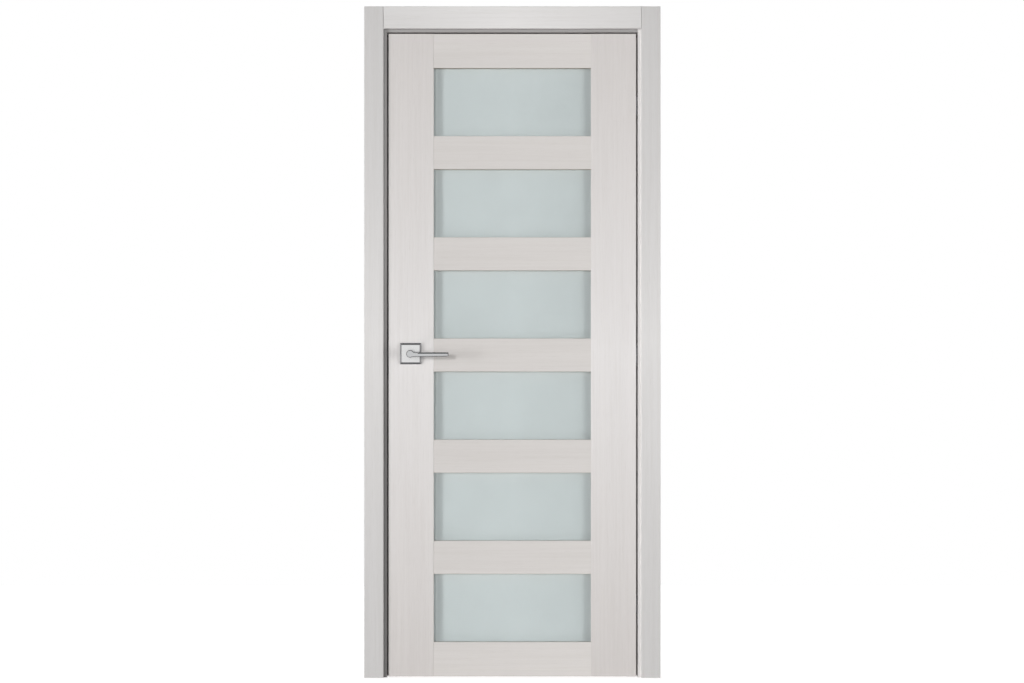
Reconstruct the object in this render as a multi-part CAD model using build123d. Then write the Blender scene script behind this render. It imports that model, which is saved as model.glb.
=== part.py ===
from build123d import *
from math import cos, hypot, radians, sin
import os

# Interior doorset: a jamb frame with flat casings, a leaf with six frosted
# lites between seven rails, three concealed hinges and a lever handle.
# Millimetres. +X to the right, +Y away from the pull side, +Z up. The origin
# is at floor level on the wall face of the hinge jamb, at mid jamb depth.

# Leaf
LEAF_WIDTH = 783.0
LEAF_HEIGHT = 2032.0
LEAF_THICKNESS = 40.0
FLOOR_CLEARANCE = 3.0
STILE_WIDTH = 142.8
TOP_RAIL = 108.0
MIDDLE_RAIL = 105.0
BOTTOM_RAIL = 109.0
RAIL_RECESS = 1.0
LITE_COUNT = 6
GLASS_THICKNESS = 6.0
GROOVE_DEPTH = 12.0
GROOVE_SLACK = 1.0
GLASS_SIDE_SLACK = 0.3
TENON_LENGTH = 11.7
TENON_THICKNESS = 13.0
TENON_MARGIN = 12.0
ARRIS = 0.8
LOCK_EDGE_BEVEL = 1.2

# Frame
JAMB_DEPTH = 75.0
JAMB_BODY = 24.0
STOP_HEIGHT = 14.0
LEAF_GAP = 5.0
STOP_TO_LEAF = 5.0
SEAL_LIFT = 0.5
SEAL_INSET = 3.0
SEAL_FOOT_RISE = 1.0
SEAL_GROOVE_WIDTH = 3.0
SEAL_GROOVE_DEPTH = 5.0
SEAL_ROUND = 1.8

# Casings
CASING_WIDTH = 61.0
HEAD_CASING_WIDTH = 70.5
CASING_THICKNESS = 12.0
CASING_SET_BACK = 10.5
CASING_EDGE_RADIUS = 3.5
CASING_OUTER_RADIUS = 1.5
BACK_CASING_WIDTH = 70.0
BACK_SET_BACK = 10.0
TONGUE_THICKNESS = 4.0
TONGUE_LENGTH = 12.0
TONGUE_INSET = 14.0
TONGUE_SLACK = 0.2
SEAM = 0.2

# Concealed hinges
HINGE_HEIGHT = 110.0
HINGE_WIDTH = 27.0
HINGE_FRONT_INSET = 2.5
HINGE_FRAME_DEPTH = 22.0
HINGE_LEAF_DEPTH = 26.0
LOWER_HINGE_UP = 225.0
UPPER_HINGE_DOWN = 225.0
ARM_INNER_RADIUS = 17.0
ARM_OUTER_RADIUS = 23.0
ARM_HEIGHT = 30.0
ARM_REACH = 75.0
ARM_ROOT = 48.0
ARM_CLEARANCE = 1.0
ARM_END_CLEARANCE = 3.0
ARM_OUTLINE_STEPS = 4

# Lock and handle
BACKSET = 70.0
HANDLE_ABOVE_LEAF_FOOT = 1021.0
ROSETTE_SIZE = 67.0
ROSETTE_BEVEL = 5.0
ROSETTE_THICKNESS = 9.0
ROSETTE_RIM = 3.0
NECK_RADIUS = 12.0
NECK_CLEARANCE = 0.3
LEVER_OUT = 50.0
LEVER_THICKNESS = 11.0
LEVER_REACH = 121.0
LEVER_ROOT_HEIGHT = 14.0
LEVER_TIP_HEIGHT = 12.6
LEVER_DROP = 2.2
LEVER_TOP_BEVEL = 4.5
LEVER_BEVEL_START = 24.0
LEVER_EDGE = 1.8
LEVER_CORNER = 2.5
LEVER_ROOT_RADIUS = 6.0
SOCKET_DEPTH = 25.0
SPINDLE_SIDE = 8.0
FOLLOWER_RADIUS = 9.0
LOCK_CASE_WIDTH = 90.0
LOCK_CASE_HEIGHT = 120.0
LOCK_CASE_THICKNESS = 16.0
FOREND_WIDTH = 22.0
FOREND_HEIGHT = 180.0
FOREND_THICKNESS = 3.0
FOREND_CORNER = 4.0
LATCH_WIDTH = 12.0
LATCH_HEIGHT = 16.0
LATCH_LENGTH = 30.0
LATCH_CLEARANCE = 0.3
LATCH_NOSE = 10.0
LATCH_NOSE_FLAT = 2.0
STRIKE_HEIGHT = 160.0
STRIKE_THICKNESS = 2.5
STRIKE_WIDTH = 26.0
STRIKE_CORNER = 4.0
STRIKE_HOLE_SLACK = 4.0
LATCH_POCKET_DEPTH = 17.0
FIT = 0.3

# Derived frame sizes
REBATE_X = -JAMB_BODY
STOP_X = REBATE_X - STOP_HEIGHT
LEAF_RIGHT = REBATE_X - LEAF_GAP
LEAF_LEFT = LEAF_RIGHT - LEAF_WIDTH
LOCK_REBATE_X = LEAF_LEFT - LEAF_GAP
LOCK_STOP_X = LOCK_REBATE_X + STOP_HEIGHT
LEAF_FOOT = FLOOR_CLEARANCE
LEAF_TOP = LEAF_FOOT + LEAF_HEIGHT
HEAD_REBATE_Z = LEAF_TOP + LEAF_GAP
HEAD_STOP_Z = HEAD_REBATE_Z - STOP_HEIGHT
HEAD_WALL_Z = HEAD_REBATE_Z + JAMB_BODY
FRONT_Y = -JAMB_DEPTH / 2
BACK_Y = JAMB_DEPTH / 2
LEAF_FRONT_Y = FRONT_Y
LEAF_BACK_Y = LEAF_FRONT_Y + LEAF_THICKNESS
STOP_FACE_Y = LEAF_BACK_Y + STOP_TO_LEAF
LEAF_MID_Y = (LEAF_FRONT_Y + LEAF_BACK_Y) / 2
MID_X = (LEAF_LEFT + LEAF_RIGHT) / 2

# Derived leaf sizes
LITE_LEFT = LEAF_LEFT + STILE_WIDTH
LITE_RIGHT = LEAF_RIGHT - STILE_WIDTH
RAILS_TOTAL = TOP_RAIL + BOTTOM_RAIL + MIDDLE_RAIL * (LITE_COUNT - 1)
LITE_HEIGHT = (LEAF_HEIGHT - RAILS_TOTAL) / LITE_COUNT

# Derived hinge and handle sizes
TURN_X = LEAF_RIGHT
TURN_Y = LEAF_FRONT_Y
LOWER_HINGE_Z = LEAF_FOOT + LOWER_HINGE_UP
UPPER_HINGE_Z = LEAF_TOP - UPPER_HINGE_DOWN
HINGE_CENTRES = (LOWER_HINGE_Z, (LOWER_HINGE_Z + UPPER_HINGE_Z) / 2, UPPER_HINGE_Z)
HANDLE_X = LEAF_LEFT + BACKSET
HANDLE_Z = LEAF_FOOT + HANDLE_ABOVE_LEAF_FOOT


def box(low_x, high_x, low_y, high_y, low_z, high_z):
    """Return a block given by its limits along each axis."""
    centre = ((low_x + high_x) / 2, (low_y + high_y) / 2, (low_z + high_z) / 2)
    return Pos(*centre) * Box(high_x - low_x, high_y - low_y, high_z - low_z)


def rod_y(radius, x, z, low_y, high_y):
    """Return a cylinder along Y between two limits."""
    middle = (low_y + high_y) / 2
    return Pos(x, middle, z) * Rot(90, 0, 0) * Cylinder(radius, high_y - low_y)


def rod_z(radius, x, y, low_z, high_z):
    """Return a cylinder along Z between two limits."""
    return Pos(x, y, (low_z + high_z) / 2) * Cylinder(radius, high_z - low_z)


def mirror_x(solid):
    """Return the solid mirrored about the middle of the leaf."""
    return mirror(solid, about=Plane.YZ.offset(MID_X))


def rail_limits():
    """Return the foot and top of each rail, from the bottom rail up."""
    limits = [(LEAF_FOOT, LEAF_FOOT + BOTTOM_RAIL)]
    for _ in range(LITE_COUNT - 1):
        foot = limits[-1][1] + LITE_HEIGHT
        limits.append((foot, foot + MIDDLE_RAIL))
    limits.append((LEAF_TOP - TOP_RAIL, LEAF_TOP))
    return limits


def groove_block(low_x, high_x, low_z, high_z):
    """Return the space that a glazing groove takes, centred in the leaf."""
    half = GLASS_THICKNESS / 2 + GROOVE_SLACK
    return box(low_x, high_x, LEAF_MID_Y - half, LEAF_MID_Y + half, low_z, high_z)


def plain_stile():
    """Return the lock stile as a plain member with its groove and mortises."""
    stile = box(LEAF_LEFT, LITE_LEFT, LEAF_FRONT_Y, LEAF_BACK_Y, LEAF_FOOT, LEAF_TOP)
    stile = chamfer(stile.edges().filter_by(Axis.Z), ARRIS)
    limits = rail_limits()
    for below, above in zip(limits, limits[1:]):
        stile -= groove_block(LITE_LEFT - GROOVE_DEPTH, LITE_LEFT, below[1] - GROOVE_DEPTH,
                              above[0] + GROOVE_DEPTH)
    half = TENON_THICKNESS / 2 + FIT / 2
    for foot, top in limits:
        low, high = foot + TENON_MARGIN - FIT / 2, top - TENON_MARGIN + FIT / 2
        stile -= box(LITE_LEFT - GROOVE_DEPTH, LITE_LEFT, LEAF_MID_Y - half,
                     LEAF_MID_Y + half, low, high)
    return stile


def lock_edge_wedge():
    """Return the sliver planed off the lock edge so that it clears the jamb."""
    points = [(LEAF_LEFT - ARRIS, LEAF_FRONT_Y - ARRIS), (LEAF_LEFT, LEAF_FRONT_Y),
              (LEAF_LEFT + LOCK_EDGE_BEVEL, LEAF_BACK_Y),
              (LEAF_LEFT + LOCK_EDGE_BEVEL, LEAF_BACK_Y + ARRIS),
              (LEAF_LEFT - ARRIS, LEAF_BACK_Y + ARRIS)]
    outline = make_face(Polyline(*points, close=True))
    return Pos(0, 0, LEAF_FOOT) * extrude(outline, amount=LEAF_HEIGHT, dir=(0, 0, 1))


def stile_lock_side():
    """Return the lock stile, cut for the lock, its forend and the spindle."""
    stile = plain_stile() - lock_edge_wedge()
    stile -= lock_space()
    follower = FOLLOWER_RADIUS + FIT
    stile -= rod_y(follower, HANDLE_X, HANDLE_Z, LEAF_FRONT_Y, LEAF_BACK_Y)
    return stile


def stile_hinge_side():
    """Return the hinge stile, pocketed for the leaf halves of the hinges."""
    stile = mirror_x(plain_stile())
    for middle in HINGE_CENTRES:
        stile -= hinge_block(LEAF_RIGHT - HINGE_LEAF_DEPTH - FIT, LEAF_RIGHT, middle, FIT / 2)
    return stile


def rail(foot, top, number):
    """Return one rail, a little thinner than the stiles, with tenons and grooves."""
    body = box(LITE_LEFT, LITE_RIGHT, LEAF_FRONT_Y + RAIL_RECESS, LEAF_BACK_Y - RAIL_RECESS,
               foot, top)
    body = chamfer(body.edges().filter_by(Axis.X), ARRIS)
    if number > 1:
        body -= groove_block(LITE_LEFT, LITE_RIGHT, foot, foot + GROOVE_DEPTH)
    if number <= LITE_COUNT:
        body -= groove_block(LITE_LEFT, LITE_RIGHT, top - GROOVE_DEPTH, top)
    half = TENON_THICKNESS / 2
    low, high = foot + TENON_MARGIN, top - TENON_MARGIN
    tenon = box(LITE_LEFT - TENON_LENGTH, LITE_RIGHT + TENON_LENGTH,
                LEAF_MID_Y - half, LEAF_MID_Y + half, low, high)
    return body + tenon


def glass(below_top, above_foot):
    """Return the frosted pane between two rails."""
    reach = GROOVE_DEPTH - GLASS_SIDE_SLACK
    half = GLASS_THICKNESS / 2
    return box(LITE_LEFT - reach, LITE_RIGHT + reach, LEAF_MID_Y - half,
               LEAF_MID_Y + half, below_top - reach, above_foot + reach)


def hinge_jamb_section(low_z, high_z):
    """Return a jamb length at the hinge side, rebated for the leaf."""
    body = box(REBATE_X, 0, FRONT_Y, BACK_Y, low_z, high_z)
    return body + box(STOP_X, REBATE_X, STOP_FACE_Y, BACK_Y, low_z, high_z)


def plain_jamb():
    """Return a full height jamb at the hinge side without hinge pockets."""
    jamb = hinge_jamb_section(0, HEAD_WALL_Z)
    low = REBATE_X + TONGUE_INSET - TONGUE_SLACK / 2
    high = low + TONGUE_THICKNESS + TONGUE_SLACK
    jamb -= box(low, high, BACK_Y - TONGUE_LENGTH - TONGUE_SLACK, BACK_Y, 0, HEAD_WALL_Z)
    middle = (STOP_X + REBATE_X) / 2
    half = SEAL_GROOVE_WIDTH / 2
    jamb -= box(middle - half, middle + half, STOP_FACE_Y, STOP_FACE_Y + SEAL_GROOVE_DEPTH,
                0, HEAD_STOP_Z)
    return jamb - box(STOP_X, REBATE_X, FRONT_Y, BACK_Y, HEAD_STOP_Z, HEAD_WALL_Z)


def jamb_hinge_side():
    """Return the hinge jamb with a pocket for each frame half of the hinges."""
    jamb = plain_jamb()
    for middle in HINGE_CENTRES:
        jamb -= hinge_block(REBATE_X, REBATE_X + HINGE_FRAME_DEPTH + FIT, middle, FIT / 2)
    return jamb


def jamb_lock_side():
    """Return the lock jamb with the strike's recess and the latch pocket."""
    jamb = mirror_x(plain_jamb())
    jamb -= rounded_plate(LOCK_REBATE_X - STRIKE_THICKNESS, STRIKE_THICKNESS, STRIKE_WIDTH + FIT,
                          STRIKE_HEIGHT + FIT, STRIKE_CORNER)
    return jamb - latch_hole(LOCK_REBATE_X - LATCH_POCKET_DEPTH, LOCK_REBATE_X)


def jamb_head():
    """Return the head jamb that spans between the side jambs."""
    body = box(LOCK_REBATE_X, REBATE_X, FRONT_Y, BACK_Y, HEAD_REBATE_Z, HEAD_WALL_Z)
    body += box(LOCK_REBATE_X, REBATE_X, STOP_FACE_Y, BACK_Y, HEAD_STOP_Z, HEAD_REBATE_Z)
    middle = (HEAD_STOP_Z + HEAD_REBATE_Z) / 2
    half = SEAL_GROOVE_WIDTH / 2
    body -= box(LOCK_REBATE_X, REBATE_X, STOP_FACE_Y, STOP_FACE_Y + SEAL_GROOVE_DEPTH,
                middle - half, middle + half)
    low = HEAD_REBATE_Z + TONGUE_INSET - TONGUE_SLACK / 2
    high = low + TONGUE_THICKNESS + TONGUE_SLACK
    return body - box(LOCK_REBATE_X, REBATE_X, BACK_Y - TONGUE_LENGTH - TONGUE_SLACK,
                      BACK_Y, low, high)


def seal_hinge_side():
    """Return the hinge side seal: a foot in its slot and a bulb on the stop."""
    middle = (STOP_X + REBATE_X) / 2
    half = SEAL_GROOVE_WIDTH / 2
    foot = box(middle - half, middle + half, STOP_FACE_Y, STOP_FACE_Y + SEAL_GROOVE_DEPTH,
               SEAL_FOOT_RISE, HEAD_STOP_Z)
    bulb = box(STOP_X + SEAL_INSET, REBATE_X - SEAL_INSET, LEAF_BACK_Y + SEAL_LIFT,
               STOP_FACE_Y, SEAL_FOOT_RISE, HEAD_STOP_Z + SEAL_INSET)
    rounded = bulb.edges().filter_by(Axis.Z).group_by(Axis.Y)[0]
    return foot + fillet(rounded, SEAL_ROUND)


def seal_head():
    """Return the seal under the head, between the two side seals."""
    middle = (HEAD_STOP_Z + HEAD_REBATE_Z) / 2
    half = SEAL_GROOVE_WIDTH / 2
    foot = box(LOCK_REBATE_X, REBATE_X, STOP_FACE_Y, STOP_FACE_Y + SEAL_GROOVE_DEPTH,
               middle - half, middle + half)
    bulb = box(LOCK_REBATE_X, REBATE_X, LEAF_BACK_Y + SEAL_LIFT, STOP_FACE_Y,
               HEAD_STOP_Z + SEAL_INSET, HEAD_REBATE_Z - SEAL_INSET)
    rounded = bulb.edges().filter_by(Axis.X).group_by(Axis.Y)[0]
    return foot + fillet(rounded, SEAL_ROUND)


def rounded_board(board, along, across, outward):
    """Round a casing board's inner edge fully and its outer edge slightly."""
    face = -1 if outward > 0 else 0
    edges = board.edges().filter_by(along).group_by(Axis.Y)[face].sort_by(across)
    board = fillet(edges[0], CASING_EDGE_RADIUS)
    edges = board.edges().filter_by(along).group_by(Axis.Y)[face].sort_by(across)
    return fillet(edges[-1], CASING_OUTER_RADIUS)


def casing_front_hinge_side():
    """Return the right casing of the pull side, set back on the jamb's edge."""
    inner = REBATE_X + CASING_SET_BACK
    top = HEAD_REBATE_Z + CASING_SET_BACK + HEAD_CASING_WIDTH
    board = box(inner, inner + CASING_WIDTH, FRONT_Y - CASING_THICKNESS, FRONT_Y, 0, top)
    return rounded_board(board, Axis.Z, Axis.X, -1)


def casing_front_head():
    """Return the head casing of the pull side, fitted between the side casings."""
    low_x = LOCK_REBATE_X - CASING_SET_BACK + SEAM
    high_x = REBATE_X + CASING_SET_BACK - SEAM
    foot = HEAD_REBATE_Z + CASING_SET_BACK
    board = box(low_x, high_x, FRONT_Y - CASING_THICKNESS, FRONT_Y,
                foot, foot + HEAD_CASING_WIDTH)
    return rounded_board(board, Axis.X, Axis.Z, -1)


def casing_back_hinge_side():
    """Return the far casing at the hinge side, with its tongue in the jamb."""
    inner = STOP_X + BACK_SET_BACK
    top = HEAD_STOP_Z + BACK_SET_BACK + BACK_CASING_WIDTH
    board = box(inner, inner + BACK_CASING_WIDTH, BACK_Y, BACK_Y + CASING_THICKNESS, 0, top)
    low = REBATE_X + TONGUE_INSET
    tongue = box(low, low + TONGUE_THICKNESS, BACK_Y - TONGUE_LENGTH, BACK_Y, 0, HEAD_WALL_Z)
    return rounded_board(board, Axis.Z, Axis.X, 1) + tongue


def casing_back_head():
    """Return the far head casing, fitted between the far side casings."""
    low_x = LOCK_STOP_X - BACK_SET_BACK + SEAM
    high_x = STOP_X + BACK_SET_BACK - SEAM
    foot = HEAD_STOP_Z + BACK_SET_BACK
    board = box(low_x, high_x, BACK_Y, BACK_Y + CASING_THICKNESS,
                foot, foot + BACK_CASING_WIDTH)
    low = HEAD_REBATE_Z + TONGUE_INSET
    tongue = box(LOCK_REBATE_X + FIT, REBATE_X - FIT, BACK_Y - TONGUE_LENGTH, BACK_Y,
                 low, low + TONGUE_THICKNESS)
    return rounded_board(board, Axis.X, Axis.Z, 1) + tongue


def hinge_block(low_x, high_x, middle, slack):
    """Return a hinge half's block or its pocket, with round ends as milled."""
    front = TURN_Y + HINGE_FRONT_INSET - slack
    back = TURN_Y + HINGE_FRONT_INSET + HINGE_WIDTH + slack
    radius = (back - front) / 2
    half = HINGE_HEIGHT / 2 + slack
    slot = SlotOverall(2 * half, 2 * radius)
    outline = Plane.YZ * Pos((front + back) / 2, middle) * Rot(0, 0, 90) * slot
    return Pos(low_x, 0, 0) * extrude(outline, amount=high_x - low_x, dir=(1, 0, 0))


def arm_sector(inner, outer, start, end, low_z, high_z):
    """Return a part of a ring about the turning axis, between two angles.

    The angles are in degrees from +Y, positive towards the jamb.
    """
    ring = rod_z(outer, TURN_X, TURN_Y, low_z, high_z)
    ring -= rod_z(inner, TURN_X, TURN_Y, low_z, high_z)
    reach = 2 * outer
    points = [(0, 0)]
    for step in range(ARM_OUTLINE_STEPS + 1):
        angle = radians(start + (end - start) * step / ARM_OUTLINE_STEPS)
        points.append((reach * sin(angle), reach * cos(angle)))
    fan = extrude(make_face(Polyline(*points, close=True)), amount=high_z - low_z, dir=(0, 0, 1))
    return ring & Pos(TURN_X, TURN_Y, low_z) * fan


def hinge_half(block, middle, side):
    """Return a hinge half: its block, its own arm and the other arm's channel."""
    own = (middle, middle + ARM_HEIGHT) if side > 0 else (middle - ARM_HEIGHT, middle)
    other = (middle - ARM_HEIGHT, middle) if side > 0 else (middle, middle + ARM_HEIGHT)
    limits = sorted((-side * ARM_REACH, side * ARM_ROOT))
    gap = ARM_CLEARANCE / 2
    arm = arm_sector(ARM_INNER_RADIUS, ARM_OUTER_RADIUS, *limits, own[0] + gap, own[1] - gap)
    limits = sorted((-side * ARM_ROOT / 2, side * (ARM_REACH + ARM_END_CLEARANCE)))
    channel = arm_sector(ARM_INNER_RADIUS - ARM_CLEARANCE, ARM_OUTER_RADIUS + ARM_CLEARANCE,
                         *limits, other[0], other[1])
    return (block - channel) + arm


def hinge_frame_half(middle):
    """Return the half let into the jamb, with the upper arm."""
    block = hinge_block(REBATE_X, REBATE_X + HINGE_FRAME_DEPTH, middle, 0)
    return hinge_half(block, middle, 1)


def hinge_leaf_half(middle):
    """Return the half let into the stile, with the lower arm."""
    block = hinge_block(LEAF_RIGHT - HINGE_LEAF_DEPTH, LEAF_RIGHT, middle, 0)
    return hinge_half(block, middle, -1)


def rounded_plate(low_x, thickness, width, height, corner):
    """Return a plate of the lock, centred on the latch, with rounded corners."""
    outline = Plane.YZ * Pos(LEAF_MID_Y, HANDLE_Z) * RectangleRounded(width, height, corner)
    return Pos(low_x, 0, 0) * extrude(outline, amount=thickness, dir=(1, 0, 0))


def lock_space():
    """Return the pocket for the lock case and the recess for its forend."""
    half_y = LOCK_CASE_THICKNESS / 2 + FIT / 2
    half_z = LOCK_CASE_HEIGHT / 2 + FIT / 2
    pocket = box(LEAF_LEFT, LEAF_LEFT + LOCK_CASE_WIDTH + FIT, LEAF_MID_Y - half_y,
                 LEAF_MID_Y + half_y, HANDLE_Z - half_z, HANDLE_Z + half_z)
    return pocket + rounded_plate(LEAF_LEFT, FOREND_THICKNESS, FOREND_WIDTH + FIT,
                                  FOREND_HEIGHT + FIT, FOREND_CORNER)


def lock_body():
    """Return the lock case with its forend, bored for the spindle and latch."""
    half_y = LOCK_CASE_THICKNESS / 2
    half_z = LOCK_CASE_HEIGHT / 2
    case = box(LEAF_LEFT, LEAF_LEFT + LOCK_CASE_WIDTH, LEAF_MID_Y - half_y,
               LEAF_MID_Y + half_y, HANDLE_Z - half_z, HANDLE_Z + half_z)
    case += rounded_plate(LEAF_LEFT, FOREND_THICKNESS, FOREND_WIDTH, FOREND_HEIGHT, FOREND_CORNER)
    case -= rod_y(FOLLOWER_RADIUS, HANDLE_X, HANDLE_Z, LEAF_FRONT_Y, LEAF_BACK_Y)
    half_y = LATCH_WIDTH / 2 + LATCH_CLEARANCE
    half_z = LATCH_HEIGHT / 2 + LATCH_CLEARANCE
    case -= box(LEAF_LEFT, LEAF_LEFT + LATCH_LENGTH, LEAF_MID_Y - half_y,
                LEAF_MID_Y + half_y, HANDLE_Z - half_z, HANDLE_Z + half_z)
    return case - lock_edge_wedge()


def latch_bolt():
    """Return the latch bolt, drawn back level with the forend, with its nose.

    The nose slopes on the side that meets the strike first as the leaf closes.
    """
    front, back = LEAF_MID_Y - LATCH_WIDTH / 2, LEAF_MID_Y + LATCH_WIDTH / 2
    points = [(LEAF_LEFT, front), (LEAF_LEFT, front + LATCH_NOSE_FLAT),
              (LEAF_LEFT + LATCH_NOSE, back), (LEAF_LEFT + LATCH_LENGTH, back),
              (LEAF_LEFT + LATCH_LENGTH, front)]
    outline = make_face(Polyline(*points, close=True))
    bolt = extrude(outline, amount=LATCH_HEIGHT, dir=(0, 0, 1))
    return Pos(0, 0, HANDLE_Z - LATCH_HEIGHT / 2) * bolt - lock_edge_wedge()


def latch_hole(low_x, high_x):
    """Return the space that the latch bolt enters in the strike and jamb."""
    half_y = LATCH_WIDTH / 2 + STRIKE_HOLE_SLACK / 2
    half_z = LATCH_HEIGHT / 2 + STRIKE_HOLE_SLACK
    return box(low_x, high_x, LEAF_MID_Y - half_y, LEAF_MID_Y + half_y,
               HANDLE_Z - half_z, HANDLE_Z + half_z)


def strike_plate():
    """Return the strike let into the lock jamb, holed for the latch bolt."""
    plate = rounded_plate(LOCK_REBATE_X - STRIKE_THICKNESS, STRIKE_THICKNESS, STRIKE_WIDTH,
                          STRIKE_HEIGHT, STRIKE_CORNER)
    return plate - latch_hole(LOCK_REBATE_X - STRIKE_THICKNESS, LOCK_REBATE_X)


def rosette_front():
    """Return the bevelled square rosette, bored for the lever's neck."""
    rim = Pos(HANDLE_X, LEAF_FRONT_Y - ROSETTE_RIM / 2, HANDLE_Z) * Box(
        ROSETTE_SIZE, ROSETTE_RIM, ROSETTE_SIZE)
    raised = Pos(HANDLE_X, LEAF_FRONT_Y - ROSETTE_THICKNESS / 2, HANDLE_Z) * Box(
        ROSETTE_SIZE, ROSETTE_THICKNESS, ROSETTE_SIZE)
    face = raised.faces().sort_by(Axis.Y)[0]
    raised = chamfer(face.edges(), ROSETTE_THICKNESS - ROSETTE_RIM, ROSETTE_BEVEL)
    plate = rim + raised
    bore = NECK_RADIUS + NECK_CLEARANCE
    return plate - rod_y(bore, HANDLE_X, HANDLE_Z, LEAF_FRONT_Y - ROSETTE_THICKNESS,
                         LEAF_FRONT_Y)


def to_back(solid):
    """Return a handle piece of the front turned over to the back of the leaf."""
    return mirror(solid, about=Plane.XZ.offset(-LEAF_MID_Y))


def lever_outline():
    """Return the lever seen from the front, about its turning axis.

    The bar grows out of the neck's disc, level on top and rising below.
    """
    top = LEVER_ROOT_HEIGHT / 2 - LEVER_DROP
    points = [(0, top - LEVER_ROOT_HEIGHT), (LEVER_REACH, top - LEVER_TIP_HEIGHT),
              (LEVER_REACH, top), (0, top)]
    outline = Circle(NECK_RADIUS) + make_face(Polyline(*points, close=True))
    roots = [v for v in outline.vertices() if abs(hypot(v.X, v.Y) - NECK_RADIUS) < FIT]
    outline = fillet(roots, LEVER_ROOT_RADIUS)
    return fillet(outline.vertices().group_by(Axis.X)[-1], LEVER_CORNER)


def lever_bevel(low_y):
    """Return the wedge that bevels the bar's top edge, from past the neck to the tip."""
    top = HANDLE_Z + LEVER_ROOT_HEIGHT / 2 - LEVER_DROP
    reach = LEVER_TOP_BEVEL + LEVER_EDGE
    points = [(low_y - LEVER_EDGE, top - reach), (low_y + reach, top + LEVER_EDGE),
              (low_y - LEVER_EDGE, top + LEVER_EDGE)]
    wedge = Plane.YZ * make_face(Polyline(*points, close=True))
    start = HANDLE_X + LEVER_BEVEL_START
    return Pos(start, 0, 0) * extrude(wedge, amount=LEVER_REACH, dir=(1, 0, 0))


def lever_front():
    """Return the front lever: a round neck with a bar that tapers to its end."""
    low_y = LEAF_FRONT_Y - LEVER_OUT - LEVER_THICKNESS
    high_y = LEAF_FRONT_Y - FIT
    plane = Plane((HANDLE_X, low_y + LEVER_THICKNESS, HANDLE_Z), x_dir=(1, 0, 0), z_dir=(0, -1, 0))
    head = extrude(plane * lever_outline(), amount=LEVER_THICKNESS)
    head = chamfer(head.faces().sort_by(Axis.Y)[0].edges(), LEVER_EDGE) - lever_bevel(low_y)
    lever = head + rod_y(NECK_RADIUS, HANDLE_X, HANDLE_Z, low_y + LEVER_THICKNESS, high_y)
    half = SPINDLE_SIDE / 2
    return lever - box(HANDLE_X - half, HANDLE_X + half, high_y - SOCKET_DEPTH, high_y,
                       HANDLE_Z - half, HANDLE_Z + half)


def spindle():
    """Return the square spindle that joins the two levers through the lock."""
    half = SPINDLE_SIDE / 2
    reach = SOCKET_DEPTH + FIT
    return box(HANDLE_X - half, HANDLE_X + half, LEAF_FRONT_Y - reach,
               LEAF_BACK_Y + reach, HANDLE_Z - half, HANDLE_Z + half)


def build_parts():
    """Return every piece of the doorset under its own name."""
    parts = {}
    parts["jamb_hinge_side"] = jamb_hinge_side()
    parts["jamb_lock_side"] = jamb_lock_side()
    parts["jamb_head"] = jamb_head()
    parts["seal_hinge_side"] = seal_hinge_side()
    parts["seal_lock_side"] = mirror_x(seal_hinge_side())
    parts["seal_head"] = seal_head()
    parts["casing_front_hinge_side"] = casing_front_hinge_side()
    parts["casing_front_lock_side"] = mirror_x(casing_front_hinge_side())
    parts["casing_front_head"] = casing_front_head()
    parts["casing_back_hinge_side"] = casing_back_hinge_side()
    parts["casing_back_lock_side"] = mirror_x(casing_back_hinge_side())
    parts["casing_back_head"] = casing_back_head()
    parts["strike_plate"] = strike_plate()
    parts["stile_lock_side"] = stile_lock_side()
    parts["stile_hinge_side"] = stile_hinge_side()
    limits = rail_limits()
    for number, (foot, top) in enumerate(limits, start=1):
        parts[f"rail_{number}"] = rail(foot, top, number)
    for number, (below, above) in enumerate(zip(limits, limits[1:]), start=1):
        parts[f"glass_{number}"] = glass(below[1], above[0])
    for number, middle in enumerate(HINGE_CENTRES, start=1):
        parts[f"hinge_frame_half_{number}"] = hinge_frame_half(middle)
        parts[f"hinge_leaf_half_{number}"] = hinge_leaf_half(middle)
    parts["lock_body"] = lock_body()
    parts["latch_bolt"] = latch_bolt()
    parts["rosette_front"] = rosette_front()
    parts["rosette_back"] = to_back(rosette_front())
    parts["lever_front"] = lever_front()
    parts["lever_back"] = to_back(lever_front())
    parts["spindle"] = spindle()
    return parts


os.makedirs("parts", exist_ok=True)
for name, solid in build_parts().items():
    export_step(solid, os.path.join("parts", name + ".step"))
    print(name, round(solid.volume / 1000, 1), "cm3")
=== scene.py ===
import math

import bmesh
import bpy
from mathutils import Matrix, Vector


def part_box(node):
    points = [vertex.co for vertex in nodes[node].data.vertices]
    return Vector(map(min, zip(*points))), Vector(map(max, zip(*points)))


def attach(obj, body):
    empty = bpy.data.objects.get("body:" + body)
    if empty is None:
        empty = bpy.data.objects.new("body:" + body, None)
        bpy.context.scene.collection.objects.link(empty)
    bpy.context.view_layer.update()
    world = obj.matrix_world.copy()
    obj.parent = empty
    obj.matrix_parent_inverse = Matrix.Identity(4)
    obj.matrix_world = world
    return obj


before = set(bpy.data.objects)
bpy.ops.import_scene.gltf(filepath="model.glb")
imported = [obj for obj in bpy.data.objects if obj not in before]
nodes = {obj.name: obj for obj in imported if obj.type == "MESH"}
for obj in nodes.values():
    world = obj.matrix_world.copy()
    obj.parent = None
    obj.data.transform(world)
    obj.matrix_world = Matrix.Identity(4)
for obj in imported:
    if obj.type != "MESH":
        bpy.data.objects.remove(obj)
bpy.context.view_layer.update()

# Places read from the frame, in metres.
stile_low, stile_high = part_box("stile_lock_side")
LEAF_FRONT_Y = stile_low.y
LEAF_BACK_Y = stile_high.y
LEAF_LEFT = stile_low.x
LEAF_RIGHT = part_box("stile_hinge_side")[1].x
MID_X = (LEAF_LEFT + LEAF_RIGHT) / 2

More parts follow.
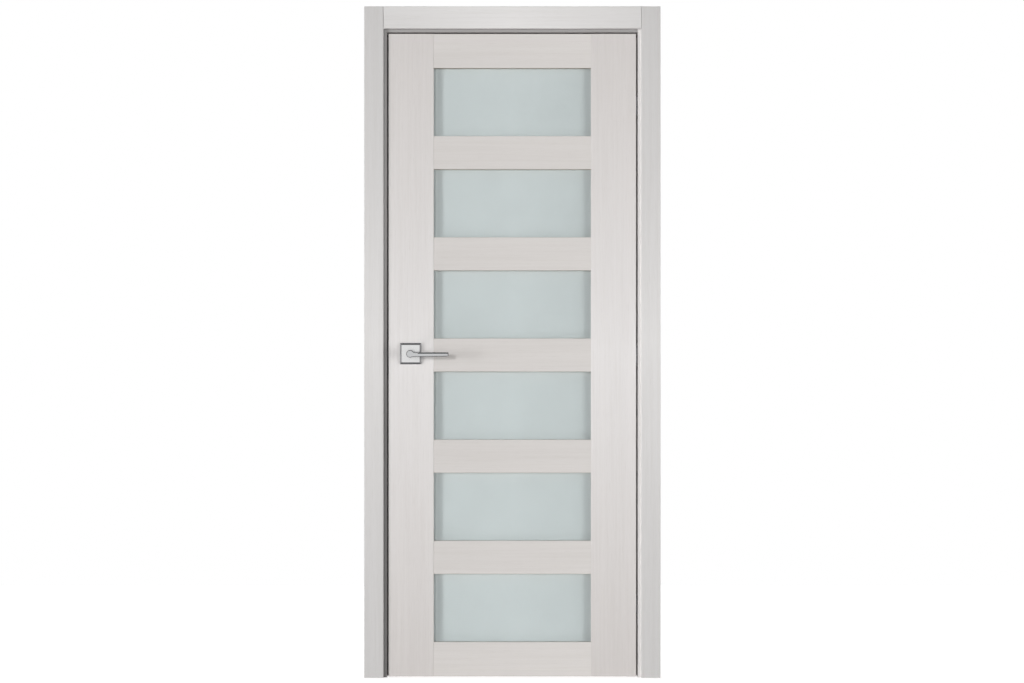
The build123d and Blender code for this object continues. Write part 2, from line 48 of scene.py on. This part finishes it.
# Colours, as sRGB out of 255.
LAMINATE = (230, 227, 226)
CASING = (224, 222, 221)
RAIL_LAMINATE = (215, 211, 208)
RAW_CORE = (176, 146, 112)
GLASS = (202, 211, 211)
SEAL = (34, 34, 35)
SATIN = (214, 214, 214)
LEVER_SATIN = (190, 191, 192)
# Polished nickel for the bevels and neck, darkened as painted shade.
POLISHED_PAINTED_SHADE = (150, 151, 153)
STEEL = (176, 177, 180)
HINGE_METAL = (132, 133, 136)

# Grain, as a scale along it, a scale across it, and the noise's detail and roughness.
BROAD_GRAIN = (1.1, 16.0, 3, 0.5)
STREAKS = (3.0, 130.0, 4, 0.6)
PORES = (26.0, 900.0, 2, 0.5)
BRUSH_MARKS = (20.0, 1800.0, 3, 0.6)

# Even textures, as one scale, and the noise's detail and roughness.
CORE_FIBRE = (420.0, 3, 0.6)
GLASS_CLOUD = (7.0, 2, 0.5)
GLASS_ETCH = (2600.0, 2, 0.5)
BUFF_MARKS = (900.0, 3, 0.6)
RUBBER_BLOOM = (60.0, 4, 0.6)

# Noise values between which a texture runs from one end to the other.
NOISE_SPAN = (0.3, 0.7)
STREAK_SPAN = (0.35, 0.6)
PORE_SPAN = (0.34, 0.42)

# Factors on a colour, from one end of a texture to the other.
LAMINATE_TONES = (0.985, 1.012)
CORE_TONES = (0.82, 1.12)
GLASS_TONES = (0.98, 1.02)
METAL_TONES = (0.93, 1.0)
FACE_TONES = (0.95, 1.0)
BEVEL_TONES = (0.9, 1.0)
RUBBER_TONES = (0.85, 1.25)
STREAK_TINT = (0.965, 0.962, 0.957, 1)
PORE_TINT = (0.94, 0.936, 0.93, 1)

# Surfaces: roughness from one end of a texture to the other, and the shader's other values.
LAMINATE_ROUGHNESS = (0.56, 0.48)
LAMINATE_SPECULAR = 0.3
STREAK_STRENGTH = 0.9
PORE_STRENGTH = 0.7
GLASS_ROUGHNESS = (0.40, 0.52)
GLASS_IOR = 1.5
GLASS_TRANSMISSION = 0.15
HINGE_ROUGHNESS = (0.24, 0.34)
LOCK_ROUGHNESS = (0.26, 0.36)
SCREW_ROUGHNESS = (0.20, 0.30)
BEVEL_ROUGHNESS = 0.08
FACE_ROUGHNESS = 0.20
RUBBER_ROUGHNESS = 0.65
FLOOR_ROUGHNESS = 0.9
FLOOR_GREY = 0.45

# Bumps, as a strength and a depth in metres.
GRAIN_BUMP = (0.10, 0.0006)
ETCH_BUMP = (0.05, 0.0002)
METAL_BUMP = (0.04, 0.0001)

# Cosine above which a face counts as turned to a direction.
FACING_LIMIT = 0.9

# Screw heads, as shares of their radius and of their rise.
SCREW_DOME = ((1.0, 0.25), (0.88, 0.8), (0.66, 1.0))
RECESS_FLOOR = 0.15
CROSS_ARM = 0.52
CROSS_HALF_WIDTH = 0.12
SOCKET_RADIUS = 0.55
SCREW_STEPS = 28

# Screws, in metres.
SCREW_SUNK = 0.0005
SCREW_RISE = 0.0007
PLATE_SCREW_RADIUS = 0.0042
HINGE_SCREW_RADIUS = 0.0046
GRUB_RADIUS = 0.0021
GRUB_RISE = 0.0003
PLATE_SCREW_INSET = 0.014
HINGE_SCREW_INSET = 0.0135
HINGE_FRAME_DEPTH = 0.022
HINGE_LEAF_DEPTH = 0.026
NECK_RADIUS = 0.012
GRUB_STAND = 0.019

# Lamps: degrees, and shares of the level at which a colour renders as written.
KEY_AZIMUTH = -20.0
KEY_ELEVATION = 9.0
KEY_SPREAD = 6.0
KEY_SHARE = 0.245
SIDE_AZIMUTH = -60.0
SIDE_ELEVATIONS = (-36.0, -5.0, 0.0, 5.0)
SIDE_SPREAD = 14.0
SIDE_SHARE = 0.33
FILL_AZIMUTH = 54.0
FILL_ELEVATIONS = (-5.0, 5.0)
FILL_SPREAD = 26.0
FILL_SHARE = 0.285
BACK_AZIMUTH = 24.0
BACK_KEY_SHARE = 0.48
BACK_FILL_SHARE = 0.28
AMBIENT = 0.08
SIDE_SHADE = 0.35
SKY_SPAN = (0.25, 0.7)
FLOOR_GLOW = 0.83
FLOOR_HALF_SIZE = 3.0
FLOOR_DROP = 0.001

# Camera, fitted to the photograph's frame.
CAMERA_DISTANCE = 9.0
CAMERA_HEIGHT = 1.15
CAMERA_SIDE = -0.0011
SENSOR = 36.0
LEAF_PLANE_SPAN = 3.2381
HORIZON_SHIFT = -0.02708

# Painted light and shade from end to end of a board, as (place, factor), and the factor's power per channel:
# brighter in the middle and darker toward the ends, the stiles' ends also warmer, the rails darker at the
# lock side.
EVEN = (1.0, 1.0, 1.0)
STILE_PAINTED_WARMTH = (1.0, 1.09, 1.16)
LEVEL = [(0.0, 1.0), (1.0, 1.0)]
CASING_PAINTED_LIGHT = [(0.0, 0.80), (0.25, 0.88), (0.5, 1.0), (0.75, 0.88), (1.0, 0.80)]
STILE_PAINTED_LIGHT = [(0.0, 0.79), (0.25, 0.90), (0.5, 1.0), (0.75, 0.90), (1.0, 0.81)]
HEAD_PAINTED_LIGHT = [(0.0, 0.92), (0.5, 1.04), (1.0, 0.92)]
RAIL_PAINTED_LIGHT = [(0.0, 0.97), (0.6, 1.0), (1.0, 1.01)]
# Painted shade across each pane from the lock side to the hinge side, darker beside the stiles.
PANE_PAINTED_SHADE = [(0.0, 0.92), (0.037, 0.89), (0.05, 0.84), (0.065, 0.88), (0.09, 0.95),
              (0.5, 1.0), (0.857, 0.93), (0.918, 0.88), (0.96, 0.78), (1.0, 0.64)]

# Painted light: how much lighter each pane is than the one above it.
PANE_PAINTED_LIGHT_STEP = 0.015

# Painted shade on the jambs' front edges beside the lock and along the head, and a painted highlight on the
# front edge by the hinges.
LOCK_EDGE_SHADE = [(0.0, 0.26), (0.38, 0.25), (0.52, 0.37), (0.75, 0.46), (1.0, 0.40)]
HEAD_EDGE_SHADE = [(0.0, 0.42), (1.0, 0.42)]
HINGE_EDGE_SHINE = [(0.0, 1.05), (0.5, 1.09), (1.0, 1.13)]


def linear(colour):
    """Return an sRGB colour out of 255 as linear RGBA."""
    out = []
    for value in colour:
        c = value / 255
        out.append(c / 12.92 if c <= 0.04045 else ((c + 0.055) / 1.055) ** 2.4)
    return (*out, 1.0)


def new_material(name):
    """Return a cleared node material with its output and surface shader."""
    material = bpy.data.materials.new(name)
    material.use_nodes = True
    tree = material.node_tree
    tree.nodes.clear()
    output = tree.nodes.new("ShaderNodeOutputMaterial")
    shader = tree.nodes.new("ShaderNodeBsdfPrincipled")
    tree.links.new(shader.outputs["BSDF"], output.inputs["Surface"])
    return material, tree, shader


def stretched_noise(tree, scale, detail, roughness, offset):
    """Return a noise node on object coordinates stretched by a scale per axis."""
    coords = tree.nodes.new("ShaderNodeTexCoord")
    mapping = tree.nodes.new("ShaderNodeMapping")
    mapping.inputs["Scale"].default_value = scale
    mapping.inputs["Location"].default_value = offset
    noise = tree.nodes.new("ShaderNodeTexNoise")
    noise.inputs["Scale"].default_value = 1.0
    noise.inputs["Detail"].default_value = detail
    noise.inputs["Roughness"].default_value = roughness
    tree.links.new(coords.outputs["Object"], mapping.inputs["Vector"])
    tree.links.new(mapping.outputs["Vector"], noise.inputs["Vector"])
    return noise


def ramp(tree, source, stops):
    """Return a colour ramp fed by a value, from (place, colour) stops."""
    node = tree.nodes.new("ShaderNodeValToRGB")
    node.color_ramp.elements[0].position = stops[0][0]
    node.color_ramp.elements[0].color = stops[0][1]
    node.color_ramp.elements[1].position = stops[-1][0]
    node.color_ramp.elements[1].color = stops[-1][1]
    for place, colour in stops[1:-1]:
        element = node.color_ramp.elements.new(place)
        element.color = colour
    tree.links.new(source, node.inputs["Fac"])
    return node


def mix(tree, kind, factor, a, b):
    """Return the colour result of a mix node; factor may be a number or a socket."""
    node = tree.nodes.new("ShaderNodeMix")
    node.data_type = "RGBA"
    node.blend_type = kind
    for socket, value in ((node.inputs[0], factor), (node.inputs[6], a), (node.inputs[7], b)):
        if isinstance(value, bpy.types.NodeSocket):
            tree.links.new(value, socket)
        else:
            socket.default_value = value
    return node.outputs[2]


def bump(tree, height, strength, distance):
    """Return a bump node's normal from a height value, a strength and a depth."""
    node = tree.nodes.new("ShaderNodeBump")
    node.inputs["Strength"].default_value = strength
    node.inputs["Distance"].default_value = distance
    tree.links.new(height, node.inputs["Height"])
    return node.outputs["Normal"]


def grain(tree, along, texture, offset=(0, 0, 0)):
    """Return a noise with one scale along an axis and another across it."""
    length, across, detail, roughness = texture
    scale = [across, across, across]
    scale["XYZ".index(along)] = length
    return stretched_noise(tree, scale, detail, roughness, offset)


def even_texture(tree, texture, offset=(0, 0, 0)):
    """Return a noise with the same scale along every axis."""
    scale, detail, roughness = texture
    return stretched_noise(tree, (scale, scale, scale), detail, roughness, offset)


def larger(tree, first, second):
    """Return the larger of two values."""
    node = tree.nodes.new("ShaderNodeMath")
    node.operation = "MAXIMUM"
    tree.links.new(first, node.inputs[0])
    tree.links.new(second, node.inputs[1])
    return node.outputs["Value"]


def facing(tree, direction):
    """Return 1 where the object's own normal points along a direction, else 0."""
    coords = tree.nodes.new("ShaderNodeTexCoord")
    dot = tree.nodes.new("ShaderNodeVectorMath")
    dot.operation = "DOT_PRODUCT"
    dot.inputs[1].default_value = direction
    tree.links.new(coords.outputs["Normal"], dot.inputs[0])
    test = tree.nodes.new("ShaderNodeMath")
    test.operation = "GREATER_THAN"
    test.inputs[1].default_value = FACING_LIMIT
    tree.links.new(dot.outputs["Value"], test.inputs[0])
    return test.outputs["Value"]


def grey(value):
    """Return a grey of one value."""
    return (value, value, value, 1)


def scaled(colour, factor):
    """Return a linear colour brightened or darkened by a factor."""
    return (colour[0] * factor, colour[1] * factor, colour[2] * factor, 1.0)


def painted_light_ramp(tree, along, stops, warmth=EVEN):
    """Return painted light and shade that follow a piece from end to end, from (place, factor) stops."""
    coords = tree.nodes.new("ShaderNodeTexCoord")
    split = tree.nodes.new("ShaderNodeSeparateXYZ")
    tree.links.new(coords.outputs["Generated"], split.inputs["Vector"])
    tones = [(place, (*(factor ** power for power in warmth), 1)) for place, factor in stops]
    return ramp(tree, split.outputs["XYZ".index(along)], tones)


def follow(tree, noise, span, first, last):
    """Return a colour that runs from one to another as a noise runs over a span."""
    return ramp(tree, noise.outputs["Fac"], [(span[0], first), (span[1], last)])


def mottle(tree, noise, base, tones):
    """Return a colour that follows a noise between two factors."""
    return follow(tree, noise, NOISE_SPAN, scaled(base, tones[0]), scaled(base, tones[1]))


def roughen(tree, shader, noise, roughness):
    """Let the roughness follow a noise between two values."""
    gloss = follow(tree, noise, NOISE_SPAN, grey(roughness[0]), grey(roughness[1]))
    tree.links.new(gloss.outputs["Color"], shader.inputs["Roughness"])


def laminate(name, colour, along, offset, raw=(), stops=LEVEL, painted_edge_stops=LEVEL, warmth=EVEN):
    """Pale ash laminate: long faint grain, fine pores, and bare core where cut.

    The offset moves the grain, so that no two boards look alike.
    """
    material, tree, shader = new_material(name)
    base = linear(colour)
    streaks = grain(tree, along, STREAKS, offset)
    tone = mottle(tree, grain(tree, along, BROAD_GRAIN, offset), base, LAMINATE_TONES)
    veins = follow(tree, streaks, STREAK_SPAN, STREAK_TINT, grey(1))
    dots = follow(tree, grain(tree, along, PORES, offset), PORE_SPAN, PORE_TINT, grey(1))
    coloured = mix(tree, "MULTIPLY", STREAK_STRENGTH, tone.outputs["Color"], veins.outputs["Color"])
    coloured = mix(tree, "MULTIPLY", PORE_STRENGTH, coloured, dots.outputs["Color"])
    # Painted light along the board.
    coloured = mix(tree, "MULTIPLY", 1.0, coloured, painted_light_ramp(tree, along, stops, warmth).outputs["Color"])
    # Painted shade and highlights on the face turned to the front.
    edge = painted_light_ramp(tree, along, painted_edge_stops).outputs["Color"]
    coloured = mix(tree, "MULTIPLY", facing(tree, (0, -1, 0)), coloured, edge)
    core_tone = mottle(tree, even_texture(tree, CORE_FIBRE, offset), linear(RAW_CORE), CORE_TONES)
    for direction in raw:
        coloured = mix(tree, "MIX", facing(tree, direction), coloured, core_tone.outputs["Color"])
    tree.links.new(coloured, shader.inputs["Base Color"])
    roughen(tree, shader, streaks, LAMINATE_ROUGHNESS)
    shader.inputs["Specular IOR Level"].default_value = LAMINATE_SPECULAR
    height = mix(tree, "MULTIPLY", 1.0, veins.outputs["Color"], dots.outputs["Color"])
    tree.links.new(bump(tree, height, *GRAIN_BUMP), shader.inputs["Normal"])
    return material


def frosted_glass(name, painted_lightness):
    """Acid-etched safety glass: milky, faintly green, with a fine sparkle."""
    material, tree, shader = new_material(name)
    # Painted light: the pane's colour is made lighter by a factor that grows from the top pane down.
    base = scaled(linear(GLASS), painted_lightness)
    tone = mottle(tree, even_texture(tree, GLASS_CLOUD), base, GLASS_TONES)
    # Painted shade across the pane, darker beside the stiles.
    across = painted_light_ramp(tree, "X", PANE_PAINTED_SHADE)
    coloured = mix(tree, "MULTIPLY", 1.0, tone.outputs["Color"], across.outputs["Color"])
    tree.links.new(coloured, shader.inputs["Base Color"])
    etch = even_texture(tree, GLASS_ETCH)
    roughen(tree, shader, etch, GLASS_ROUGHNESS)
    shader.inputs["IOR"].default_value = GLASS_IOR
    shader.inputs["Transmission Weight"].default_value = GLASS_TRANSMISSION
    tree.links.new(bump(tree, etch.outputs["Fac"], *ETCH_BUMP), shader.inputs["Normal"])
    return material


def metal(name, colour, roughness, along=None):
    """Satin or polished metal, brushed along an axis or else buffed."""
    material, tree, shader = new_material(name)
    marks = grain(tree, along, BRUSH_MARKS) if along else even_texture(tree, BUFF_MARKS)
    tone = mottle(tree, marks, linear(colour), METAL_TONES)
    tree.links.new(tone.outputs["Color"], shader.inputs["Base Color"])
    roughen(tree, shader, marks, roughness)
    shader.inputs["Metallic"].default_value = 1.0
    tree.links.new(bump(tree, marks.outputs["Fac"], *METAL_BUMP), shader.inputs["Normal"])
    return material


def handle_metal(name, face_colour):
    """Satin nickel on the faces turned to the room; polished bevels and neck, darkened as painted shade."""
    material, tree, shader = new_material(name)
    marks = even_texture(tree, BUFF_MARKS)
    face = mottle(tree, marks, linear(face_colour), FACE_TONES)
    bevel = mottle(tree, marks, linear(POLISHED_PAINTED_SHADE), BEVEL_TONES)
    to_room = larger(tree, facing(tree, (0, -1, 0)), facing(tree, (0, 1, 0)))
    tone = mix(tree, "MIX", to_room, bevel.outputs["Color"], face.outputs["Color"])
    tree.links.new(tone, shader.inputs["Base Color"])
    gloss = mix(tree, "MIX", to_room, grey(BEVEL_ROUGHNESS), grey(FACE_ROUGHNESS))
    tree.links.new(gloss, shader.inputs["Roughness"])
    shader.inputs["Metallic"].default_value = 1.0
    tree.links.new(bump(tree, marks.outputs["Fac"], *METAL_BUMP), shader.inputs["Normal"])
    return material


def rubber():
    """Dark seal rubber with a slight bloom."""
    material, tree, shader = new_material("seal_rubber")
    tone = mottle(tree, even_texture(tree, RUBBER_BLOOM), linear(SEAL), RUBBER_TONES)
    tree.links.new(tone.outputs["Color"], shader.inputs["Base Color"])
    shader.inputs["Roughness"].default_value = RUBBER_ROUGHNESS
    return material


def dress(material, *names):
    """Give CAD nodes a material in every slot."""
    for name in names:
        mesh = nodes[name].data
        mesh.materials.clear()
        mesh.materials.append(material)


def dress_frame():
    """Dress the jambs and casings, with the grain along each member."""
    foot, top = (0, 0, -1), (0, 0, 1)
    # The jambs' front edges get painted shade beside the lock and along the head, and a painted highlight by
    # the hinges.
    right = laminate("jamb_right", LAMINATE, "Z", (3, 1, 0), [(1, 0, 0), foot, top],
                     painted_edge_stops=HINGE_EDGE_SHINE)
    dress(right, "jamb_hinge_side")
    left = laminate("jamb_left", LAMINATE, "Z", (5, 2, 1), [(-1, 0, 0), foot, top],
                    painted_edge_stops=LOCK_EDGE_SHADE)
    dress(left, "jamb_lock_side")
    head = laminate("jamb_head", LAMINATE, "X", (7, 3, 2), [top], painted_edge_stops=HEAD_EDGE_SHADE)
    dress(head, "jamb_head")
    for face, hidden in (("front", (0, 1, 0)), ("back", (0, -1, 0))):
        for side, offset in (("hinge", 11), ("lock", 17)):
            name = f"casing_{face}_{side}_side"
            board = laminate(name, CASING, "Z", (offset, hidden[1] * 4, 3), [hidden, foot], CASING_PAINTED_LIGHT)
            dress(board, name)
        name = f"casing_{face}_head"
        dress(laminate(name, CASING, "X", (1, hidden[1] * 23, 6), [hidden], HEAD_PAINTED_LIGHT), name)
    dress(rubber(), "seal_hinge_side", "seal_lock_side", "seal_head")


def dress_leaf():
    """Dress the stiles, rails and panes."""
    for side, offset in (("lock", 31), ("hinge", 37)):
        name = f"stile_{side}_side"
        board = laminate(name, LAMINATE, "Z", (offset, 6, 9), [(0, 0, -1)], STILE_PAINTED_LIGHT, warmth=STILE_PAINTED_WARMTH)
        dress(board, name)
    rails = sorted(name for name in nodes if name.startswith("rail_"))
    for number, name in enumerate(rails):
        offset = (number * 3, 5, number * 7)
        dress(laminate(name, RAIL_LAMINATE, "X", offset, [(0, 0, -1)], RAIL_PAINTED_LIGHT), name)
    panes = sorted((name for name in nodes if name.startswith("glass_")), reverse=True)
    for number, name in enumerate(panes):
        dress(frosted_glass(f"frosted_{name}", 1 + number * PANE_PAINTED_LIGHT_STEP), name)


def dress_metal():
    """Dress the hinges, the lock and the handle."""
    hinges = [name for name in nodes if name.startswith("hinge_")]
    dress(metal("hinge_steel", HINGE_METAL, HINGE_ROUGHNESS, "Z"), *hinges)
    lock_steel = metal("lock_steel", STEEL, LOCK_ROUGHNESS, "Z")
    dress(lock_steel, "lock_body", "latch_bolt", "strike_plate", "spindle")
    dress(handle_metal("rosette_nickel", SATIN), "rosette_front", "rosette_back")
    dress(handle_metal("lever_nickel", LEVER_SATIN), "lever_front", "lever_back")


def cross_outline(radius):
    """Return the outline of a cross recess for a screw head of a radius."""
    arm = CROSS_ARM * radius
    half = CROSS_HALF_WIDTH * radius
    return [(arm, -half), (arm, half), (half, half), (half, arm), (-half, arm), (-half, half),
            (-arm, half), (-arm, -half), (-half, -half), (-half, -arm), (half, -arm), (half, -half)]


def hexagon_outline(radius):
    """Return the outline of a hexagon socket for a grub screw of a radius."""
    reach = SOCKET_RADIUS * radius
    corners = [math.radians(60 * number) for number in range(6)]
    return [(reach * math.cos(a), reach * math.sin(a)) for a in corners]


def screw_mesh(name, radius, rise, outline):
    """Return a low domed head with a recess of an outline, facing +Z from the origin."""
    recess = outline(radius)
    shape = bmesh.new()
    turns = [2 * math.pi * step / SCREW_STEPS for step in range(SCREW_STEPS)]
    profile = [(radius, -SCREW_SUNK)]
    profile += [(across * radius, up * rise) for across, up in SCREW_DOME]
    rings = [[shape.verts.new((r * math.cos(a), r * math.sin(a), z)) for a in turns] for r, z in profile]
    rim = [shape.verts.new((x, y, rise)) for x, y in recess]
    floor = [shape.verts.new((x, y, RECESS_FLOOR * rise)) for x, y in recess]
    for low, high in (*zip(rings, rings[1:]), (rim, floor)):
        for here in range(len(low)):
            after = (here + 1) % len(low)
            shape.faces.new((low[here], low[after], high[after], high[here]))
    shape.faces.new(rings[0])
    shape.faces.new(floor)
    borders = []
    for loop in (rings[-1], rim):
        borders += [shape.edges.get((loop[i - 1], loop[i])) for i in range(len(loop))]
    bmesh.ops.triangle_fill(shape, edges=borders, use_beauty=True)
    bmesh.ops.recalc_face_normals(shape, faces=shape.faces)
    mesh = bpy.data.meshes.new(name)
    shape.to_mesh(mesh)
    shape.free()
    return mesh


def add_screw(name, body, material, mesh, place, direction):
    """Add a screw on a body, its head facing a direction."""
    piece_mesh = mesh.copy()
    piece_mesh.materials.append(material)
    piece = bpy.data.objects.new(name, piece_mesh)
    turn = Vector(direction).to_track_quat("Z", "Y").to_matrix().to_4x4()
    piece.matrix_world = Matrix.Translation(place) @ turn
    bpy.context.scene.collection.objects.link(piece)
    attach(piece, body)


def screw_plates(steel):
    """Screw the strike plate to the jamb and the forend to the stile."""
    mesh = screw_mesh("plate_screw", PLATE_SCREW_RADIUS, SCREW_RISE, cross_outline)
    low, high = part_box("strike_plate")
    forend_low, forend_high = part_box("lock_body")
    middle_y = (low.y + high.y) / 2
    forend_x = (stile_low.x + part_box("latch_bolt")[0].x) / 2
    for end, strike_z, forend_z in (
        ("low", low.z + PLATE_SCREW_INSET, forend_low.z + PLATE_SCREW_INSET),
        ("high", high.z - PLATE_SCREW_INSET, forend_high.z - PLATE_SCREW_INSET),
    ):
        add_screw(f"strike_screw_{end}", "frame", steel, mesh,
                  (high.x, middle_y, strike_z), (1, 0, 0))
        add_screw(f"forend_screw_{end}", "leaf", steel, mesh,
                  (forend_x, middle_y, forend_z), (-1, 0, 0))


def screw_hinges(steel):
    """Screw each hinge half to its board."""
    mesh = screw_mesh("hinge_screw", HINGE_SCREW_RADIUS, SCREW_RISE, cross_outline)
    for name in sorted(name for name in nodes if name.startswith("hinge_")):
        low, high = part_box(name)
        on_frame = "frame" in name
        body = "frame" if on_frame else "leaf"
        x = high.x - HINGE_FRAME_DEPTH if on_frame else low.x + HINGE_LEAF_DEPTH
        direction = (-1 if on_frame else 1, 0, 0)
        for end, z in (("low", low.z + HINGE_SCREW_INSET), ("high", high.z - HINGE_SCREW_INSET)):
            add_screw(f"{name}_screw_{end}", body, steel, mesh,
                      (x, (low.y + high.y) / 2, z), direction)


def pin_levers(steel):
    """Pin each lever by a grub screw under its neck."""
    mesh = screw_mesh("grub_screw", GRUB_RADIUS, GRUB_RISE, hexagon_outline)
    for side, y in (("front", LEAF_FRONT_Y - GRUB_STAND), ("back", LEAF_BACK_Y + GRUB_STAND)):
        low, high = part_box(f"rosette_{side}")
        place = ((low.x + high.x) / 2, y, (low.z + high.z) / 2 - NECK_RADIUS)
        add_screw(f"lever_screw_{side}", "lever", steel, mesh, place, (0, 0, -1))


def add_screws():
    """Add every screw that shows."""
    steel = metal("screw_steel", STEEL, SCREW_ROUGHNESS)
    screw_plates(steel)
    screw_hinges(steel)
    pin_levers(steel)


def lamp(name, azimuth, elevation, share, spread):
    """Add a far lamp that gives a share of the plain level on the doorset's face.

    The azimuth is in degrees from the front, positive to the right.
    """
    across, up = math.radians(azimuth), math.radians(elevation)
    towards = Vector((math.sin(across) * math.cos(up), -math.cos(across) * math.cos(up), math.sin(up)))
    data = bpy.data.lights.new(name, "SUN")
    data.energy = math.pi * share / abs(towards.y)
    data.angle = math.radians(spread)
    light = bpy.data.objects.new(name, data)
    light.rotation_euler = towards.to_track_quat("Z", "Y").to_euler()
    bpy.context.scene.collection.objects.link(light)


def light_scene():
    """Light the front by a soft key, a tall strip of lamps beside it and a fill opposite.

    The strip reaches below the level, so that edges facing down don't fall dark.
    """
    lamp("key", KEY_AZIMUTH, KEY_ELEVATION, KEY_SHARE, KEY_SPREAD)
    for number, elevation in enumerate(SIDE_ELEVATIONS):
        lamp(f"side_{number}", SIDE_AZIMUTH, elevation, SIDE_SHARE / len(SIDE_ELEVATIONS), SIDE_SPREAD)
    for number, elevation in enumerate(FILL_ELEVATIONS):
        lamp(f"fill_{number}", FILL_AZIMUTH, elevation, FILL_SHARE / len(FILL_ELEVATIONS), FILL_SPREAD)
    lamp("back_key", 180 + BACK_AZIMUTH, KEY_ELEVATION, BACK_KEY_SHARE, SIDE_SPREAD)
    lamp("back_fill", 180 - BACK_AZIMUTH, KEY_ELEVATION, BACK_FILL_SHARE, SIDE_SPREAD)


def studio_world():
    """Give a faint even sky, shown white to the camera and through glass.

    Metal sees it white in front and behind, and darker to the sides and above.
    """
    world = bpy.data.worlds.new("studio")
    bpy.context.scene.world = world
    world.use_nodes = True
    tree = world.node_tree
    tree.nodes.clear()
    output = tree.nodes.new("ShaderNodeOutputWorld")
    ambient = tree.nodes.new("ShaderNodeBackground")
    ambient.inputs["Color"].default_value = grey(1)
    ambient.inputs["Strength"].default_value = AMBIENT
    shown = tree.nodes.new("ShaderNodeBackground")
    coords = tree.nodes.new("ShaderNodeTexCoord")
    split = tree.nodes.new("ShaderNodeSeparateXYZ")
    tree.links.new(coords.outputs["Generated"], split.inputs["Vector"])
    frontal = tree.nodes.new("ShaderNodeMath")
    frontal.operation = "ABSOLUTE"
    tree.links.new(split.outputs["Y"], frontal.inputs[0])
    sky = ramp(tree, frontal.outputs["Value"], [(SKY_SPAN[0], grey(SIDE_SHADE)), (SKY_SPAN[1], grey(1))])
    path = tree.nodes.new("ShaderNodeLightPath")
    glossy = path.outputs["Is Glossy Ray"]
    tree.links.new(mix(tree, "MIX", glossy, grey(1), sky.outputs["Color"]), shown.inputs["Color"])
    blend = tree.nodes.new("ShaderNodeMixShader")
    tree.links.new(shown_rays(tree), blend.inputs["Fac"])
    tree.links.new(ambient.outputs["Background"], blend.inputs[1])
    tree.links.new(shown.outputs["Background"], blend.inputs[2])
    tree.links.new(blend.outputs["Shader"], output.inputs["Surface"])


def shown_rays(tree):
    """Return 1 for camera, glossy and transmission rays, else 0."""
    path = tree.nodes.new("ShaderNodeLightPath")
    result = path.outputs["Is Camera Ray"]
    for kind in ("Is Glossy Ray", "Is Transmission Ray"):
        result = larger(tree, result, path.outputs[kind])
    return result


def add_floor():
    """Add a plain floor around the doorset, shown white to the camera."""
    material, tree, shader = new_material("floor_white")
    shader.inputs["Base Color"].default_value = grey(FLOOR_GREY)
    shader.inputs["Roughness"].default_value = FLOOR_ROUGHNESS
    strength = tree.nodes.new("ShaderNodeMath")
    strength.operation = "MULTIPLY"
    tree.links.new(shown_rays(tree), strength.inputs[0])
    strength.inputs[1].default_value = FLOOR_GLOW
    tree.links.new(strength.outputs["Value"], shader.inputs["Emission Strength"])
    glossy = tree.nodes.new("ShaderNodeLightPath").outputs["Is Glossy Ray"]
    glow = mix(tree, "MIX", glossy, grey(1), grey(SIDE_SHADE))
    tree.links.new(glow, shader.inputs["Emission Color"])
    size = FLOOR_HALF_SIZE
    mesh = bpy.data.meshes.new("floor")
    corners = [(-size, -size, 0), (size, -size, 0), (size, size, 0), (-size, size, 0)]
    mesh.from_pydata(corners, [], [(0, 1, 2, 3)])
    floor = bpy.data.objects.new("floor", mesh)
    floor.location = (MID_X, 0, -FLOOR_DROP)
    mesh.materials.append(material)
    floor.visible_shadow = False
    bpy.context.scene.collection.objects.link(floor)


def add_camera():
    """Add a level camera in front of the doorset, framed as the photograph."""
    data = bpy.data.cameras.new("camera")
    data.sensor_width = SENSOR
    data.lens = SENSOR * CAMERA_DISTANCE / LEAF_PLANE_SPAN
    data.shift_y = HORIZON_SHIFT
    camera = bpy.data.objects.new("camera", data)
    camera.location = (MID_X + CAMERA_SIDE, LEAF_FRONT_Y - CAMERA_DISTANCE, CAMERA_HEIGHT)
    camera.rotation_euler = (math.pi / 2, 0, 0)
    bpy.context.scene.collection.objects.link(camera)
    bpy.context.scene.camera = camera


dress_frame()
dress_leaf()
dress_metal()
add_screws()
add_floor()
light_scene()
studio_world()
add_camera()
bpy.context.scene.view_settings.view_transform = "Standard"
